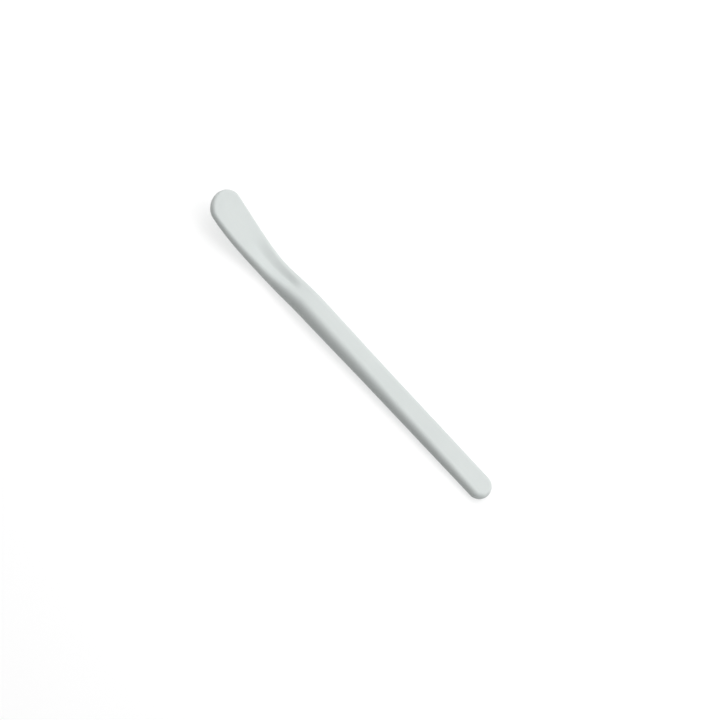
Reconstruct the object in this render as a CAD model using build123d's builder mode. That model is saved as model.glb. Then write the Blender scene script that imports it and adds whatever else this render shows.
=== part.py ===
from build123d import *

import math
import os

# One-piece moulded bone folder, in millimetres. X runs along the tool, with the
# round handle end at +X and the blade tip at -X. Y is the width, and +Z is up
# from the flat underside that the tool rests on. The origin is the bottom
# centre of the tool's box.

# Lengths along the tool
overall_length = 200.0
handle_end_depth = 6.3  # how far the round end reaches past the straight sides
tip_depth = 8.3  # how far the blade's rounded tip reaches past its widest place
shoulder_from_tip = 73.0  # blade tip to the top of the shoulder
shoulder_length = 30.0  # the slope from the handle's top down to the neck
flare_length = 44.0  # neck to the blade's widest place
swell_length = 50.0  # handle width growing into the neck's width

# Widths across the tool
handle_width = 14.85
neck_width = 15.6
blade_width = 21.0

# Thicknesses, square to the underside
handle_end_thickness = 4.9
shoulder_thickness = 8.6
neck_thickness = 4.8
tip_thickness = 3.4

# The sides are rounded over: their depth across, for each half thickness
side_depth_ratio = 1.15

# The blade curves up from the flat underside along a circular arc
rise_radius = 185.0
tip_angle = 17.6  # slope of the blade at its widest place

# Thumb hollow in the neck
hollow_depth = 1.15
hollow_from_tip = 24.0  # blade tip to where the hollow fades into the blade
hollow_length = 39.0
blade_side_fade = 15.0  # how long the hollow takes to reach its depth from the blade
handle_side_fade = 8.5  # and from the handle
lip_share = 0.8  # where the hollow's flank starts to curve down, in flat half widths
floor_share = 0.25  # where the flank levels out again, near the middle line

# The underside is trimmed level, to leave a true plane to rest on
rest_trim = 0.05

# How many steps the curved stretch, from swell to blade, is lofted in
curved_sections = 44

handle_end = overall_length / 2
blade_tip = -overall_length / 2
handle_corner = handle_end - handle_end_depth
tip_slope = math.radians(tip_angle)
tip_reach = tip_depth * math.cos(tip_slope) - tip_thickness / 2 * math.sin(tip_slope)
widest_place = blade_tip + tip_reach
rise_start = widest_place + rise_radius * math.sin(tip_slope)
shoulder_top = blade_tip + shoulder_from_tip
swell_start = shoulder_top + swell_length
shoulder_foot = shoulder_top - shoulder_length
hollow_start = blade_tip + hollow_from_tip
hollow_end = hollow_start + hollow_length


def blend(position, start, end):
    """0 before start and 1 after end, with a smooth change between them."""
    share = min(max((position - start) / (end - start), 0.0), 1.0)
    return share * share * (3 - 2 * share)


def between(low, high, share):
    return low + (high - low) * share


def width(place):
    """Width across: the handle, its swell into the neck, then the blade's flare."""
    swell = blend(place, swell_start, shoulder_top)
    flare = blend(place, widest_place + flare_length, widest_place)
    return between(between(handle_width, neck_width, swell), blade_width, flare)


def thickness(place):
    """Thickness: the handle's taper and the blade's, joined by the shoulder."""
    handle_share = (handle_corner - place) / (handle_corner - shoulder_top)
    handle_taper = between(handle_end_thickness, shoulder_thickness, handle_share)
    blade_share = (shoulder_foot - place) / (shoulder_foot - widest_place)
    blade_taper = between(neck_thickness, tip_thickness, blade_share)
    return between(handle_taper, blade_taper, blend(place, shoulder_top, shoulder_foot))


def hollow(place):
    """Depth of the thumb hollow below the top face."""
    blade_side = blend(place, hollow_start, hollow_start + blade_side_fade)
    handle_side = blend(place, hollow_end, hollow_end - handle_side_fade)
    return hollow_depth * min(blade_side, handle_side)


def section_plane(place):
    """The plane of a section, square to the underside, which is its own X axis."""
    reach = max(rise_start - place, 0.0)
    rise = rise_radius - math.sqrt(rise_radius**2 - reach**2)
    slope = math.asin(reach / rise_radius)
    along = (math.cos(slope), 0, -math.sin(slope))
    return Plane((place, 0, rise - rest_trim), x_dir=(0, 1, 0), z_dir=along)


def draw_half_section(place):
    """Outline of the +Y half: underside, rounded side, dished top, middle line."""
    top = thickness(place)
    side = side_depth_ratio * top / 2
    flat = width(place) / 2 - side
    bulge = flat + side * 4 / 3  # a cubic with these handles reaches 3/4 of the way
    floor = top - hollow(place)
    Line((0, 0), (flat, 0))
    Bezier((flat, 0), (bulge, 0), (bulge, top), (flat, top))
    Bezier((flat, top), (lip_share * flat, top), (floor_share * flat, floor), (0, floor))
    Line((0, floor), (0, 0))


curved_step = (swell_start - widest_place) / curved_sections
curved_stations = [widest_place + curved_step * n for n in range(curved_sections + 1)]

# Each rounded end is the end section turned half a turn about its middle line,
# then squeezed along the tool from a half-round plan to the end's own depth.
with BuildPart() as rounded_tip:
    with BuildSketch(Plane.XZ):
        with BuildLine():
            draw_half_section(widest_place)
        make_face()
    revolve(axis=Axis.Z, revolution_arc=180)
    scale(by=(1, tip_depth / (blade_width / 2), 1), about=(0, 0, 0))

with BuildPart() as rounded_end:
    with BuildSketch(Plane.XZ):
        with BuildLine():
            draw_half_section(handle_corner)
        make_face()
    revolve(axis=Axis.Z, revolution_arc=180)
    scale(by=(1, handle_end_depth / (handle_width / 2), 1), about=(0, 0, 0))

tip_section = section_plane(widest_place)
end_section = section_plane(handle_corner)
tip_plane = Plane(tip_section.origin, x_dir=(0, 1, 0), z_dir=tip_section.y_dir)
end_plane = Plane(end_section.origin, x_dir=(0, -1, 0), z_dir=end_section.y_dir)

with BuildPart() as folder_body:
    for place in curved_stations:
        with BuildSketch(section_plane(place)):
            with BuildLine():
                draw_half_section(place)
            make_face()
    loft()
    for place in (swell_start, handle_corner):
        with BuildSketch(section_plane(place)):
            with BuildLine():
                draw_half_section(place)
            make_face()
    loft(ruled=True)
    mirror(about=Plane.XZ)
    with Locations(tip_plane):
        add(rounded_tip.part)
    with Locations(end_plane):
        add(rounded_end.part)
    split(bisect_by=Plane.XY, keep=Keep.TOP)

folder_body.part.label = "folder_body"

os.makedirs("parts", exist_ok=True)
export_step(folder_body.part, "parts/folder_body.step")
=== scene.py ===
"""Looks of a one-piece moulded bone folder, laid out as a Blender add-on."""

import math

import bmesh
import bpy
from mathutils import Matrix, Vector


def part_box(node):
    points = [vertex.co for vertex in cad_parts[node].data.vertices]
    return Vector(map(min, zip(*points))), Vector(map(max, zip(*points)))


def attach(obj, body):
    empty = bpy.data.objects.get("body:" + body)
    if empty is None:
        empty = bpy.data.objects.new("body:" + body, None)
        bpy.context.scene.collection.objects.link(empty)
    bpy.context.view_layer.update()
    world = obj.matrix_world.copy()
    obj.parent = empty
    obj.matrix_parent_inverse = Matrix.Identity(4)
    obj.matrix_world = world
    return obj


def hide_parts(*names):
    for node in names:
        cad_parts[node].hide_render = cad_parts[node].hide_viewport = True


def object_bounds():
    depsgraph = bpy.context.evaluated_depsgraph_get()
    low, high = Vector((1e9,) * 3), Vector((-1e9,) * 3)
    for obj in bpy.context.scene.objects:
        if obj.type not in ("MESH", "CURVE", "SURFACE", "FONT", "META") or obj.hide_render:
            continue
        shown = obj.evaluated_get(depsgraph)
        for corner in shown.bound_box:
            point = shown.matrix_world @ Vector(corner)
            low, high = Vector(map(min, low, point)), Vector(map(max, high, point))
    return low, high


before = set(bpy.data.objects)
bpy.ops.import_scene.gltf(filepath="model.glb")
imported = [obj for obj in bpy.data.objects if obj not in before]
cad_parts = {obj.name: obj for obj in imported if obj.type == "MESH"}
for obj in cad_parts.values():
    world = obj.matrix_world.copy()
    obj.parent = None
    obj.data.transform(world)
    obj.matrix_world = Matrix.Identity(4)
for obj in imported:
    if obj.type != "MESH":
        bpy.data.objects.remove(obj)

bl_info = {
    "name": "Bone Folder",
    "version": (1, 0, 0),
    "blender": (4, 5, 0),
    "location": "3D View > Sidebar > Bone Folder",
    "description": "Makes a moulded bone folder and the studio that it lies in",
    "category": "Add Mesh",
}

CAD_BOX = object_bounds()
BODY_LOW, BODY_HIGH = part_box("folder_body")

# Names of the values that the mesh carries for its material
RIM = "rim"  # 1 on the crest of the rounded side, 0 on the flats
BLADE = "blade"  # 1 on the blade, 0 on the handle
HOLLOW = "hollow"  # 1 in the deepest part of the thumb hollow

# How finely the body is laid out
SIDE_STEPS = 400  # along each long side
END_STEPS = 48  # round each rounded end
UNDERSIDE_STEPS = 5  # from the middle line to the rounded side
ROUNDING_STEPS = 22  # over the rounded side
TOP_STEPS = 16  # from the rounded side back to the middle line
WALK_STEPS = 2 * (SIDE_STEPS + END_STEPS)
SECTION_STEPS = UNDERSIDE_STEPS + ROUNDING_STEPS + TOP_STEPS
WELD_DISTANCE = 1e-6  # metres; closes the middle line and both ends

# How the plastic takes light
PLASTIC_IOR = 1.49
SOAK_SHARE = 0.12  # how much of the light sinks in
SOAK_DEPTH = 0.002  # metres
SOAK_TINT = (1.0, 1.0, 0.9)

# Its clouds, scuffs and worn patches, in metres
CLOUD_SIZE = 0.018
SCUFF_WIDTH = 0.0011
SCUFF_STRETCH = (0.06, 1, 1)  # drawn out along the tool
WORN_PATCH_SIZE = 0.006

# How strongly each shows, as shares
CLOUD_TINT = 0.6
GRAIN_TINT = 0.3
# How far the rim's crest is lightened: partly burnish, partly painted light
BURNISH_AND_LIGHT_TINT = 0.9
HANDLE_WEAR_AND_LIGHT = 0.25  # wear and painted light on the handle's rim against the blade's
LEAST_WEAR = 0.3  # wear and painted light left between the worn patches
HOLLOW_RUB = 0.6
SCUFF_SHEEN = 0.16  # how far the scuffs shift the roughness
SCUFF_RELIEF = 0.35  # their height against the grain's
GRAIN_LEFT = 0.4  # grain left where the surface is rubbed

# The round studio, in metres
STUDIO_RADIUS = 2.1
STUDIO_HEIGHT = 4.0
STUDIO_SIDES = 96
FLOOR_ROUGHNESS = 0.9

# Each soft light's azimuth and elevation in degrees, and its power in watts
SOFT_LIGHTS = {
    "far_light": (180, 62, 23),
    "handle_side_light": (135, 35, 14.5),
    "blade_side_light": (225, 35, 9),
    "handle_end_light": (90, 35, 4),
}
LIGHT_SIZE = 2.0  # metres, as is the distance
LIGHT_DISTANCE = 2.0
AIR_LIGHT = 0.43  # strength of the even light from all round
AIM_SHIFT = Vector((0.00795, -0.0001, -0.0035))  # metres from the middle of the body's box


def length(label, description, millimetres):
    """A length property, given in millimetres and kept in metres."""
    return bpy.props.FloatProperty(
        name=label, description=description, default=millimetres / 1000,
        unit="LENGTH", subtype="DISTANCE", precision=5, min=0,
    )


def share(label, description, default, top=1.0):
    """A plain number from 0 to top."""
    return bpy.props.FloatProperty(
        name=label, description=description, default=default, min=0, max=top
    )


def colour(label, description, default):
    """A colour property without alpha."""
    return bpy.props.FloatVectorProperty(
        name=label, description=description, default=default,
        subtype="COLOR", size=3, min=0, max=1,
    )


def angle(label, description, degrees):
    """An angle property, given in degrees and kept in radians."""
    return bpy.props.FloatProperty(
        name=label, description=description, default=math.radians(degrees),
        unit="ROTATION", subtype="ANGLE",
    )


class FolderSizes(bpy.types.PropertyGroup):
    """Sizes of the one-piece body. Its length and width come from the frame."""

    handle_end_depth: length("Handle end depth", "Reach of the round end past the sides", 6.3)
    tip_depth: length("Tip depth", "Reach of the blade's tip past its widest place", 8.3)
    shoulder_from_tip: length("Shoulder from tip", "Blade tip to the shoulder's top", 73)
    shoulder_length: length("Shoulder length", "Slope from the handle to the neck", 30)
    flare_length: length("Flare length", "Neck to the blade's widest place", 44)
    swell_length: length("Swell length", "Handle width growing into the neck's", 50)
    handle_width: length("Handle width", "Width across the handle", 14.85)
    neck_width: length("Neck width", "Width across the neck", 15.6)
    handle_end_thickness: length("Handle end thickness", "Thickness at the round end", 4.9)
    shoulder_thickness: length("Shoulder thickness", "Thickness at the shoulder's top", 8.6)
    neck_thickness: length("Neck thickness", "Thickness at the shoulder's foot", 4.8)
    tip_thickness: length("Tip thickness", "Thickness at the blade's widest place", 3.4)
    side_depth_ratio: share("Side depth", "Depth of the rounded side per half thickness", 1.15, 2)
    rise_radius: length("Rise radius", "Radius of the arc that the blade rises along", 185)
    tip_angle: angle("Tip angle", "Slope of the blade at its widest place", 17.6)
    hollow_depth: length("Hollow depth", "Depth of the thumb hollow", 1.15)
    hollow_from_tip: length("Hollow from tip", "Blade tip to the hollow's far end", 24)
    hollow_length: length("Hollow length", "Length of the thumb hollow", 39)
    blade_side_fade: length("Blade side fade", "Length over which the hollow deepens, blade side", 15)
    handle_side_fade: length("Handle side fade", "Length over which it deepens, handle side", 8.5)
    lip_share: share("Lip share", "Where its flank curves down, as a share of the half width", 0.8)
    floor_share: share("Floor share", "Where its flank levels out, as a share of the half width", 0.25)
    rest_trim: length("Rest trim", "How much is taken off to leave a level underside", 0.05)


class FolderFinish(bpy.types.PropertyGroup):
    """Colours and finish of the moulded plastic."""

    plastic: colour("Plastic", "Main colour", (0.602, 0.637, 0.626))
    plastic_deep: colour("Deeper plastic", "Colour of the cloudier patches", (0.572, 0.61, 0.60))
    # Partly burnish, partly painted light: the rim's crest is lightened towards this colour, mostly on
    # the blade
    burnished: colour("Burnished rim", "Colour where work has rubbed the rim", (0.70, 0.735, 0.72))
    roughness: share("Roughness", "Roughness of the untouched satin surface", 0.5)
    rubbed_roughness: share("Rubbed roughness", "Roughness where hands and paper rub", 0.36)
    grain_size: length("Grain size", "Size of the moulded grain", 0.35)
    grain_depth: length("Grain depth", "Depth of the moulded grain", 0.012)
    ripple_size: length("Ripple size", "Size of the mould's faint ripples", 3)
    ripple_depth: length("Ripple depth", "Depth of the mould's faint ripples", 0.03)


class StudioSetup(bpy.types.PropertyGroup):
    """The floor, lights and camera."""

    floor_colour: colour("Floor", "Colour of the plain floor", (0.97, 0.97, 0.97))
    wall_colour: colour("Wall", "Colour of the wall behind it", (1.0, 1.0, 1.0))
    elevation: angle("Elevation", "Height of the camera above the horizon", 50)
    roll: angle("Roll", "Turn of the camera about its own line of sight", 46.27)
    framed_width: length("Framed width", "Width that the picture takes in", 355.4)
    camera_distance: length("Camera distance", "Camera to what it looks at", 2000)


class Field:
    """A value in a node tree, so that a rule can be written as a sum."""

    def __init__(self, tree, socket):
        self.tree, self.socket = tree, socket

    def operate(self, operation, *others):
        """This value and the others through one Math node."""
        node = self.tree.nodes.new("ShaderNodeMath")
        node.operation = operation
        for socket, value in zip(node.inputs, (self, *others)):
            join(self.tree, value, socket)
        return Field(self.tree, node.outputs[0])

    def __add__(self, other):
        return self.operate("ADD", other)

    def __sub__(self, other):
        return self.operate("SUBTRACT", other)

    def __mul__(self, other):
        return self.operate("MULTIPLY", other)

    def __truediv__(self, other):
        return self.operate("DIVIDE", other)

    def sine(self):
        return self.operate("SINE")

    def cosine(self):
        return self.operate("COSINE")

    def ramp(self, start, end, low=0.0, high=1.0, smooth=False):
        """From low at start to high at end, held level outside them."""
        node = self.tree.nodes.new("ShaderNodeMapRange")
        node.interpolation_type = "SMOOTHSTEP" if smooth else "LINEAR"
        values = (self, start, end, low, high)
        for name, value in zip(("Value", "From Min", "From Max", "To Min", "To Max"), values):
            join(self.tree, value, node.inputs[name])
        return Field(self.tree, node.outputs["Result"])

    def blend(self, start, end, low=0.0, high=1.0):
        """The same, easing in and out."""
        return self.ramp(start, end, low, high, smooth=True)


def join(tree, value, socket):
    """Links a Field to a socket, or sets the socket to a plain value."""
    if isinstance(value, Field):
        tree.links.new(value.socket, socket)
    else:
        socket.default_value = value


def add_node(tree, kind, **inputs):
    """A node with its inputs joined, named with underscores for spaces."""
    node = tree.nodes.new(kind)
    for name, value in inputs.items():
        join(tree, value, node.inputs[name.replace("_", " ")])
    return node


def number_inputs(tree, sizes):
    """One named input for each size, as Fields by property name."""
    for name, value in sizes.items():
        socket = tree.interface.new_socket(
            name.replace("_", " ").capitalize(), in_out="INPUT", socket_type="NodeSocketFloat"
        )
        socket.default_value = value
    entry = tree.nodes.new("NodeGroupInput")
    return {name: Field(tree, socket) for name, socket in zip(sizes, entry.outputs)}


def outline_walk(steps):
    """How far along each stretch: out on one side, round the tip, back, round the end."""
    side_out = steps.ramp(0, SIDE_STEPS)
    tip_start = SIDE_STEPS
    back_start = tip_start + END_STEPS
    end_start = back_start + SIDE_STEPS
    round_tip = steps.ramp(tip_start, back_start)
    side_back = steps.ramp(back_start, end_start)
    round_end = steps.ramp(end_start, end_start + END_STEPS)
    return side_out - side_back, round_tip, round_end


def places_along(s):
    """Where the stretches of the tool begin and end along X, by name."""
    tip = s["length"] * -0.5
    tip_sine, tip_cosine = s["tip_angle"].sine(), s["tip_angle"].cosine()
    widest = tip + s["tip_depth"] * tip_cosine - s["tip_thickness"] * tip_sine / 2
    shoulder_top = tip + s["shoulder_from_tip"]
    hollow_start = tip + s["hollow_from_tip"]
    return {
        "handle_corner": s["length"] / 2 - s["handle_end_depth"],
        "swell_start": shoulder_top + s["swell_length"],
        "shoulder_top": shoulder_top,
        "shoulder_foot": shoulder_top - s["shoulder_length"],
        "hollow_end": hollow_start + s["hollow_length"],
        "hollow_start": hollow_start,
        "rise_start": widest + s["rise_radius"] * tip_sine,
        "widest": widest,
    }


def sizes_at(place, spots, s):
    """Width and thickness at a place, and how far it is on the blade and in the hollow."""
    swollen = place.blend(
        spots["swell_start"], spots["shoulder_top"], s["handle_width"], s["neck_width"]
    )
    flare = place.blend(spots["widest"] + s["flare_length"], spots["widest"])
    width = swollen + (s["blade_width"] - swollen) * flare

    handle_thickness = s["handle_end_thickness"] + (
        s["shoulder_thickness"] - s["handle_end_thickness"]
    ) * (spots["handle_corner"] - place) / (spots["handle_corner"] - spots["shoulder_top"])
    blade_thickness = s["neck_thickness"] + (s["tip_thickness"] - s["neck_thickness"]) * (
        spots["shoulder_foot"] - place
    ) / (spots["shoulder_foot"] - spots["widest"])
    on_blade = place.blend(spots["shoulder_top"], spots["shoulder_foot"])
    thickness = handle_thickness + (blade_thickness - handle_thickness) * on_blade

    hollow_start, hollow_end = spots["hollow_start"], spots["hollow_end"]
    blade_side = place.blend(hollow_start, hollow_start + s["blade_side_fade"])
    handle_side = place.blend(hollow_end, hollow_end - s["handle_side_fade"])
    return width, thickness, on_blade, blade_side * handle_side


def half_section(over, width, thickness, depth, s):
    """Level underside, rounded side and dished top, as reach from the middle and height."""
    side = s["side_depth_ratio"] * thickness / 2
    flat = width / 2 - side
    under = over.ramp(0, UNDERSIDE_STEPS)
    rounding = over.ramp(UNDERSIDE_STEPS, UNDERSIDE_STEPS + ROUNDING_STEPS)
    inward = over.ramp(UNDERSIDE_STEPS + ROUNDING_STEPS, SECTION_STEPS)
    outward = inward * -1.0 + 1.0
    crest = rounding * (rounding * -1.0 + 1.0) * 4.0
    flank = outward * s["lip_share"] + inward * s["floor_share"]
    dish_reach = outward * outward * outward + inward * outward * flank * 3.0
    reach = flat * (under + dish_reach - 1.0) + side * crest
    dish = inward.blend(0, 1)
    height = thickness * rounding.blend(0, 1) - depth * dish
    return reach, height, crest, dish


def body_rule(tree, s):
    """The folder body: one half section carried all the way round its plan outline."""
    grid = add_node(
        tree, "GeometryNodeMeshGrid", Size_X=float(WALK_STEPS), Size_Y=float(SECTION_STEPS),
        Vertices_X=WALK_STEPS + 1, Vertices_Y=SECTION_STEPS + 1,
    )
    place_on_grid = add_node(tree, "GeometryNodeInputPosition").outputs[0]
    split = add_node(tree, "ShaderNodeSeparateXYZ", Vector=Field(tree, place_on_grid))
    walk = Field(tree, split.outputs["X"]) + WALK_STEPS / 2
    over = Field(tree, split.outputs["Y"]) + SECTION_STEPS / 2

    spots = places_along(s)
    along, round_tip, round_end = outline_walk(walk)
    place = spots["handle_corner"] + (spots["widest"] - spots["handle_corner"]) * along
    width, thickness, on_blade, hollowed = sizes_at(place, spots, s)
    depth = hollowed * s["hollow_depth"]
    reach, height, crest, dish = half_section(over, width, thickness, depth, s)

    # Each end turns that half section about its middle line
    turn = (round_tip + round_end) * math.pi
    is_end = round_end.operate("GREATER_THAN", 0.0)
    end_depth = s["tip_depth"] + (s["handle_end_depth"] - s["tip_depth"]) * is_end
    ahead = reach * turn.sine() * end_depth / (width / 2)
    across = reach * turn.cosine()

    # The blade leans back along its arc
    sunk = (spots["rise_start"] - place).operate("MAXIMUM", 0.0)
    slope = (sunk / s["rise_radius"]).operate("ARCSINE")
    rise = s["rise_radius"] * (slope.cosine() * -1.0 + 1.0)
    x = place + height * slope.sine() - ahead * slope.cosine()
    z = rise - s["rest_trim"] + height * slope.cosine() + ahead * slope.sine()
    spot = tree.nodes.new("ShaderNodeCombineXYZ")
    for socket, value in zip(spot.inputs, (x, across, z.operate("MAXIMUM", 0.0))):
        join(tree, value, socket)
    return grid, Field(tree, spot.outputs[0]), {RIM: crest, BLADE: on_blade, HOLLOW: hollowed * dish}


def make_body_tree(sizes, material):
    """Geometry Nodes that make the folder body from its sizes."""
    tree = bpy.data.node_groups.new("Folder body", "GeometryNodeTree")
    fields = number_inputs(tree, sizes)
    tree.interface.new_socket("Geometry", in_out="OUTPUT", socket_type="NodeSocketGeometry")
    grid, spot, marks = body_rule(tree, fields)
    shape = Field(tree, grid.outputs["Mesh"])
    for name, value in marks.items():
        stored = tree.nodes.new("GeometryNodeStoreNamedAttribute")
        stored.data_type, stored.domain = "FLOAT", "POINT"
        join(tree, shape, stored.inputs["Geometry"])
        join(tree, name, stored.inputs["Name"])
        join(tree, value, stored.inputs["Value"])
        shape = Field(tree, stored.outputs["Geometry"])
    placed = add_node(tree, "GeometryNodeSetPosition", Geometry=shape, Position=spot)
    welded = add_node(
        tree, "GeometryNodeMergeByDistance",
        Geometry=Field(tree, placed.outputs[0]), Distance=WELD_DISTANCE,
    )
    smooth = add_node(
        tree, "GeometryNodeSetShadeSmooth",
        Geometry=Field(tree, welded.outputs[0]), Shade_Smooth=True,
    )
    real = add_node(
        tree, "GeometryNodeRealizeInstances", Geometry=Field(tree, smooth.outputs[0])
    )
    finished = add_node(
        tree, "GeometryNodeSetMaterial", Geometry=Field(tree, real.outputs[0]), Material=material
    )
    leave = tree.nodes.new("NodeGroupOutput")
    tree.links.new(finished.outputs[0], leave.inputs[0])
    return tree


def mesh_from_tree(name, tree, sizes):
    """Runs a Geometry Nodes tree once and returns its result as a plain mesh object."""
    maker = bpy.data.objects.new(name + "_maker", bpy.data.meshes.new(name + "_maker"))
    bpy.context.scene.collection.objects.link(maker)
    modifier = maker.modifiers.new(tree.name, "NODES")
    modifier.node_group = tree
    inputs = [i for i in tree.interface.items_tree if i.in_out == "INPUT"]
    for socket, value in zip(inputs, sizes.values()):
        modifier[socket.identifier] = value
    depsgraph = bpy.context.evaluated_depsgraph_get()
    mesh = bpy.data.meshes.new_from_object(maker.evaluated_get(depsgraph))
    mesh.name = name
    bpy.data.objects.remove(maker)
    piece = bpy.data.objects.new(name, mesh)
    bpy.context.scene.collection.objects.link(piece)
    return piece


def face_outwards(mesh):
    """Turns a mesh's faces outwards, and stops the script if it isn't closed."""
    work = bmesh.new()
    work.from_mesh(mesh)
    bmesh.ops.recalc_face_normals(work, faces=work.faces)
    open_edges = sum(not edge.is_manifold for edge in work.edges)
    work.to_mesh(mesh)
    work.free()
    if open_edges:
        raise RuntimeError(f"{mesh.name} has {open_edges} open edges")


def make_plastic(finish):
    """Satin moulded plastic: fine grain, cloudy patches, rim and hollow rubbed by use, and the rim's
    crest painted lighter, partly burnish and partly painted light.
    """
    material = bpy.data.materials.new("Satin moulded plastic")
    material.use_nodes = True
    tree = material.node_tree
    tree.nodes.clear()
    surface = tree.nodes.new("ShaderNodeBsdfPrincipled")
    leave = tree.nodes.new("ShaderNodeOutputMaterial")
    tree.links.new(surface.outputs[0], leave.inputs["Surface"])
    surface.inputs["IOR"].default_value = PLASTIC_IOR
    surface.inputs["Subsurface Weight"].default_value = SOAK_SHARE
    surface.inputs["Subsurface Radius"].default_value = SOAK_TINT
    surface.inputs["Subsurface Scale"].default_value = SOAK_DEPTH

    at = Field(tree, tree.nodes.new("ShaderNodeTexCoord").outputs["Object"])

    def noise(feature, detail, stretch=(1, 1, 1), roughness=0.5):
        """Soft noise from 0 to 1 whose features are about so many metres across."""
        moved = add_node(tree, "ShaderNodeMapping", Vector=at, Scale=stretch)
        made = add_node(
            tree, "ShaderNodeTexNoise", Vector=Field(tree, moved.outputs[0]),
            Scale=1 / feature, Detail=detail, Roughness=roughness,
        )
        return Field(tree, made.outputs["Fac"])

    def mark(name):
        """A value that the mesh carries."""
        node = tree.nodes.new("ShaderNodeAttribute")
        node.attribute_name = name
        return Field(tree, node.outputs["Fac"])

    def mix(factor, first, second):
        """The first colour where the factor is 0, the second where it is 1."""
        node = tree.nodes.new("ShaderNodeMix")
        node.data_type = "RGBA"
        join(tree, factor, node.inputs["Factor"])
        join(tree, first, node.inputs["A"])
        join(tree, second, node.inputs["B"])
        return Field(tree, node.outputs["Result"])

    clouds = noise(CLOUD_SIZE, detail=3.0).blend(0.3, 0.7)
    grain = noise(finish.grain_size, detail=2.0)
    scuffs = noise(SCUFF_WIDTH, detail=4.0, stretch=SCUFF_STRETCH, roughness=0.6)
    worn_patches = noise(WORN_PATCH_SIZE, detail=4.0, roughness=0.6).blend(0.35, 0.7)

    rim, blade, hollow = mark(RIM), mark(BLADE), mark(HOLLOW)
    wear_and_light_by_place = blade * (1 - HANDLE_WEAR_AND_LIGHT) + HANDLE_WEAR_AND_LIGHT
    wear_and_light_by_patch = worn_patches * (1 - LEAST_WEAR) + LEAST_WEAR
    # Lighter crest of the rounded side, mostly on the blade: partly burnish, partly painted light that
    # lifts the shading on the rim
    rim_wear_and_light = rim.blend(0.55, 1.0) * wear_and_light_by_place * wear_and_light_by_patch
    rubbed = (rim_wear_and_light + hollow * HOLLOW_RUB).operate("MINIMUM", 1.0)

    plain = (*finish.plastic, 1)
    deep = (*finish.plastic_deep, 1)
    burnished = (*finish.burnished, 1)
    base = mix(clouds * CLOUD_TINT + grain * GRAIN_TINT, plain, deep)
    # Painted light with burnish: the rim's crest is mixed towards the lighter colour
    base = mix(rim_wear_and_light * BURNISH_AND_LIGHT_TINT, base, burnished)
    join(tree, base, surface.inputs["Base Color"])

    streaks = (scuffs - 0.5) * SCUFF_SHEEN
    untouched = finish.roughness
    roughness = rubbed * (finish.rubbed_roughness - untouched) + untouched + streaks
    join(tree, roughness, surface.inputs["Roughness"])

    ripples = noise(finish.ripple_size, detail=1.0)
    fine = grain * (rubbed * (GRAIN_LEFT - 1) + 1.0) + scuffs * SCUFF_RELIEF
    coarse_bump = add_bump(tree, ripples, finish.ripple_depth)
    fine_bump = add_bump(tree, fine, finish.grain_depth, coarse_bump)
    join(tree, fine_bump, surface.inputs["Normal"])
    return material


def add_bump(tree, relief, depth, under=None):
    """Raises relief to a depth in metres, over another bump if there is one."""
    bump = tree.nodes.new("ShaderNodeBump")
    bump.inputs["Strength"].default_value = 1.0
    bump.inputs["Distance"].default_value = depth
    join(tree, relief, bump.inputs["Height"])
    if under:
        join(tree, under, bump.inputs["Normal"])
    return Field(tree, bump.outputs[0])


def add_stage_piece(name, corners, faces, material):
    """A plain mesh of the studio, which bounces no soft light onto the folder."""
    mesh = bpy.data.meshes.new(name)
    mesh.from_pydata(corners, [], faces)
    mesh.materials.append(material)
    piece = bpy.data.objects.new(name, mesh)
    bpy.context.scene.collection.objects.link(piece)
    piece.visible_diffuse = False
    return piece


def make_floor(colour_of_floor):
    """A round, plain matt floor under the folder."""
    material = bpy.data.materials.new("Matt studio floor")
    material.use_nodes = True
    surface = material.node_tree.nodes["Principled BSDF"]
    surface.inputs["Base Color"].default_value = (*colour_of_floor, 1)
    surface.inputs["Roughness"].default_value = FLOOR_ROUGHNESS
    surface.inputs["Specular IOR Level"].default_value = 0.0
    rim_of_floor = ring(CAD_BOX[0].z)
    return add_stage_piece(
        "studio_floor", rim_of_floor, [tuple(range(STUDIO_SIDES))], material
    )


def make_backdrop(colour_of_wall):
    """A pale wall all round the floor, seen by the camera but lighting nothing."""
    material = bpy.data.materials.new("Pale studio wall")
    material.use_nodes = True
    tree = material.node_tree
    tree.nodes.clear()
    glow = tree.nodes.new("ShaderNodeEmission")
    glow.inputs["Color"].default_value = (*colour_of_wall, 1)
    material.cycles.emission_sampling = "NONE"
    leave = tree.nodes.new("ShaderNodeOutputMaterial")
    tree.links.new(glow.outputs[0], leave.inputs["Surface"])
    low, high = CAD_BOX[0].z, STUDIO_HEIGHT
    faces = [
        (n, n + STUDIO_SIDES, (n + 1) % STUDIO_SIDES + STUDIO_SIDES, (n + 1) % STUDIO_SIDES)
        for n in range(STUDIO_SIDES)
    ]
    wall = add_stage_piece("studio_wall", ring(low) + ring(high), faces, material)
    wall.visible_glossy = False
    wall.visible_shadow = False
    return wall


def ring(height):
    """Points round the studio at one height."""
    turns = [2 * math.pi * n / STUDIO_SIDES for n in range(STUDIO_SIDES)]
    return [
        (STUDIO_RADIUS * math.cos(turn), STUDIO_RADIUS * math.sin(turn), height)
        for turn in turns
    ]


def add_soft_light(name, azimuth, elevation, power):
    """A large square light round the folder. Azimuth 0 is the near side, 90 the handle's end."""
    lamp = bpy.data.lights.new(name, "AREA")
    lamp.shape = "SQUARE"
    lamp.size = LIGHT_SIZE
    lamp.energy = power
    lamp.use_shadow = False  # the air light alone leaves the faint shadow under the folder
    light = bpy.data.objects.new(name, lamp)
    bpy.context.scene.collection.objects.link(light)
    light.visible_camera = False
    turn, lift = math.radians(azimuth), math.radians(elevation)
    flat = math.cos(lift)
    away = Vector((math.sin(turn) * flat, -math.cos(turn) * flat, math.sin(lift)))
    light.location = away * LIGHT_DISTANCE
    light.rotation_euler = (-light.location).to_track_quat("-Z", "Y").to_euler()
    return light


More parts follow.
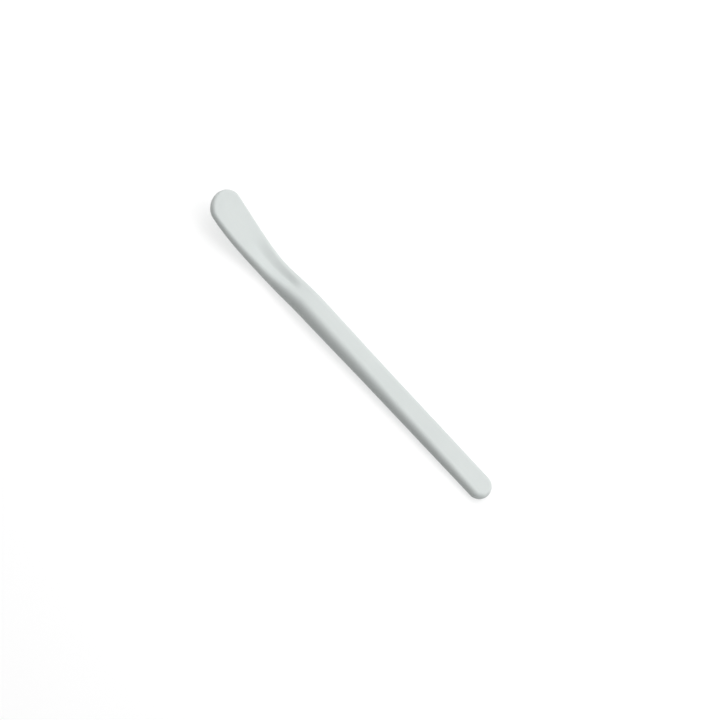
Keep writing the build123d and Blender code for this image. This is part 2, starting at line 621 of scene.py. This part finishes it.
class BONEFOLDER_OT_body(bpy.types.Operator):
    """Make the one-piece folder body from its sizes"""

    bl_idname = "bonefolder.make_body"
    bl_label = "Folder Body"

    def execute(self, context):
        chosen = context.scene.folder_sizes
        sizes = {
            "length": BODY_HIGH.x * 2,
            "blade_width": BODY_HIGH.y - BODY_LOW.y,
            **{name: getattr(chosen, name) for name in FolderSizes.__annotations__},
        }
        plastic = make_plastic(context.scene.folder_finish)
        tree = make_body_tree(sizes, plastic)
        body = mesh_from_tree("moulded_body", tree, sizes)
        face_outwards(body.data)
        bpy.data.node_groups.remove(tree)
        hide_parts("folder_body")
        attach(body, "root")
        return {"FINISHED"}


class BONEFOLDER_OT_studio(bpy.types.Operator):
    """Make the floor, the soft lights and the camera"""

    bl_idname = "bonefolder.make_studio"
    bl_label = "Studio"

    def execute(self, context):
        setup = context.scene.studio_setup
        make_floor(setup.floor_colour)
        make_backdrop(setup.wall_colour)

        for name, (azimuth, elevation, power) in SOFT_LIGHTS.items():
            add_soft_light(name, azimuth, elevation, power)

        world = bpy.data.worlds.new("Studio air")
        world.use_nodes = True
        air = world.node_tree.nodes["Background"]
        air.inputs["Color"].default_value = (1, 1, 1, 1)
        air.inputs["Strength"].default_value = AIR_LIGHT
        context.scene.world = world

        data = bpy.data.cameras.new("studio_camera")
        data.lens = data.sensor_width * setup.camera_distance / setup.framed_width
        camera = bpy.data.objects.new("studio_camera", data)
        context.scene.collection.objects.link(camera)
        towards = Vector((0, -math.cos(setup.elevation), math.sin(setup.elevation)))
        upright = towards.cross((1, 0, 0))
        right = Vector((math.cos(setup.roll), 0, 0)) + upright * math.sin(setup.roll)
        up = Vector((-math.sin(setup.roll), 0, 0)) + upright * math.cos(setup.roll)
        looked_at = (CAD_BOX[0] + CAD_BOX[1]) / 2 + AIM_SHIFT
        camera.matrix_world = Matrix.LocRotScale(
            looked_at + towards * setup.camera_distance,
            Matrix((right, up, towards)).transposed().to_quaternion(),
            None,
        )
        context.scene.camera = camera
        context.scene.view_settings.view_transform = "Standard"
        return {"FINISHED"}


class BONEFOLDER_PT_panel(bpy.types.Panel):
    """Lists the folder's sizes, finish and studio, with a button for each"""

    bl_idname = "BONEFOLDER_PT_panel"
    bl_label = "Bone Folder"
    bl_space_type = "VIEW_3D"
    bl_region_type = "UI"
    bl_category = "Bone Folder"

    def draw(self, context):
        scene = context.scene
        for group, operator in (
            (scene.folder_sizes, BONEFOLDER_OT_body),
            (scene.folder_finish, None),
            (scene.studio_setup, BONEFOLDER_OT_studio),
        ):
            box = self.layout.box()
            for name in type(group).__annotations__:
                box.prop(group, name)
            if operator:
                box.operator(operator.bl_idname)


CLASSES = (
    FolderSizes,
    FolderFinish,
    StudioSetup,
    BONEFOLDER_OT_body,
    BONEFOLDER_OT_studio,
    BONEFOLDER_PT_panel,
)


def register():
    for one in CLASSES:
        bpy.utils.register_class(one)
    bpy.types.Scene.folder_sizes = bpy.props.PointerProperty(type=FolderSizes)
    bpy.types.Scene.folder_finish = bpy.props.PointerProperty(type=FolderFinish)
    bpy.types.Scene.studio_setup = bpy.props.PointerProperty(type=StudioSetup)


def unregister():
    del bpy.types.Scene.studio_setup
    del bpy.types.Scene.folder_finish
    del bpy.types.Scene.folder_sizes
    for one in reversed(CLASSES):
        bpy.utils.unregister_class(one)


def main():
    register()
    bpy.ops.bonefolder.make_body()
    bpy.ops.bonefolder.make_studio()


if __name__ == "__main__":
    main()
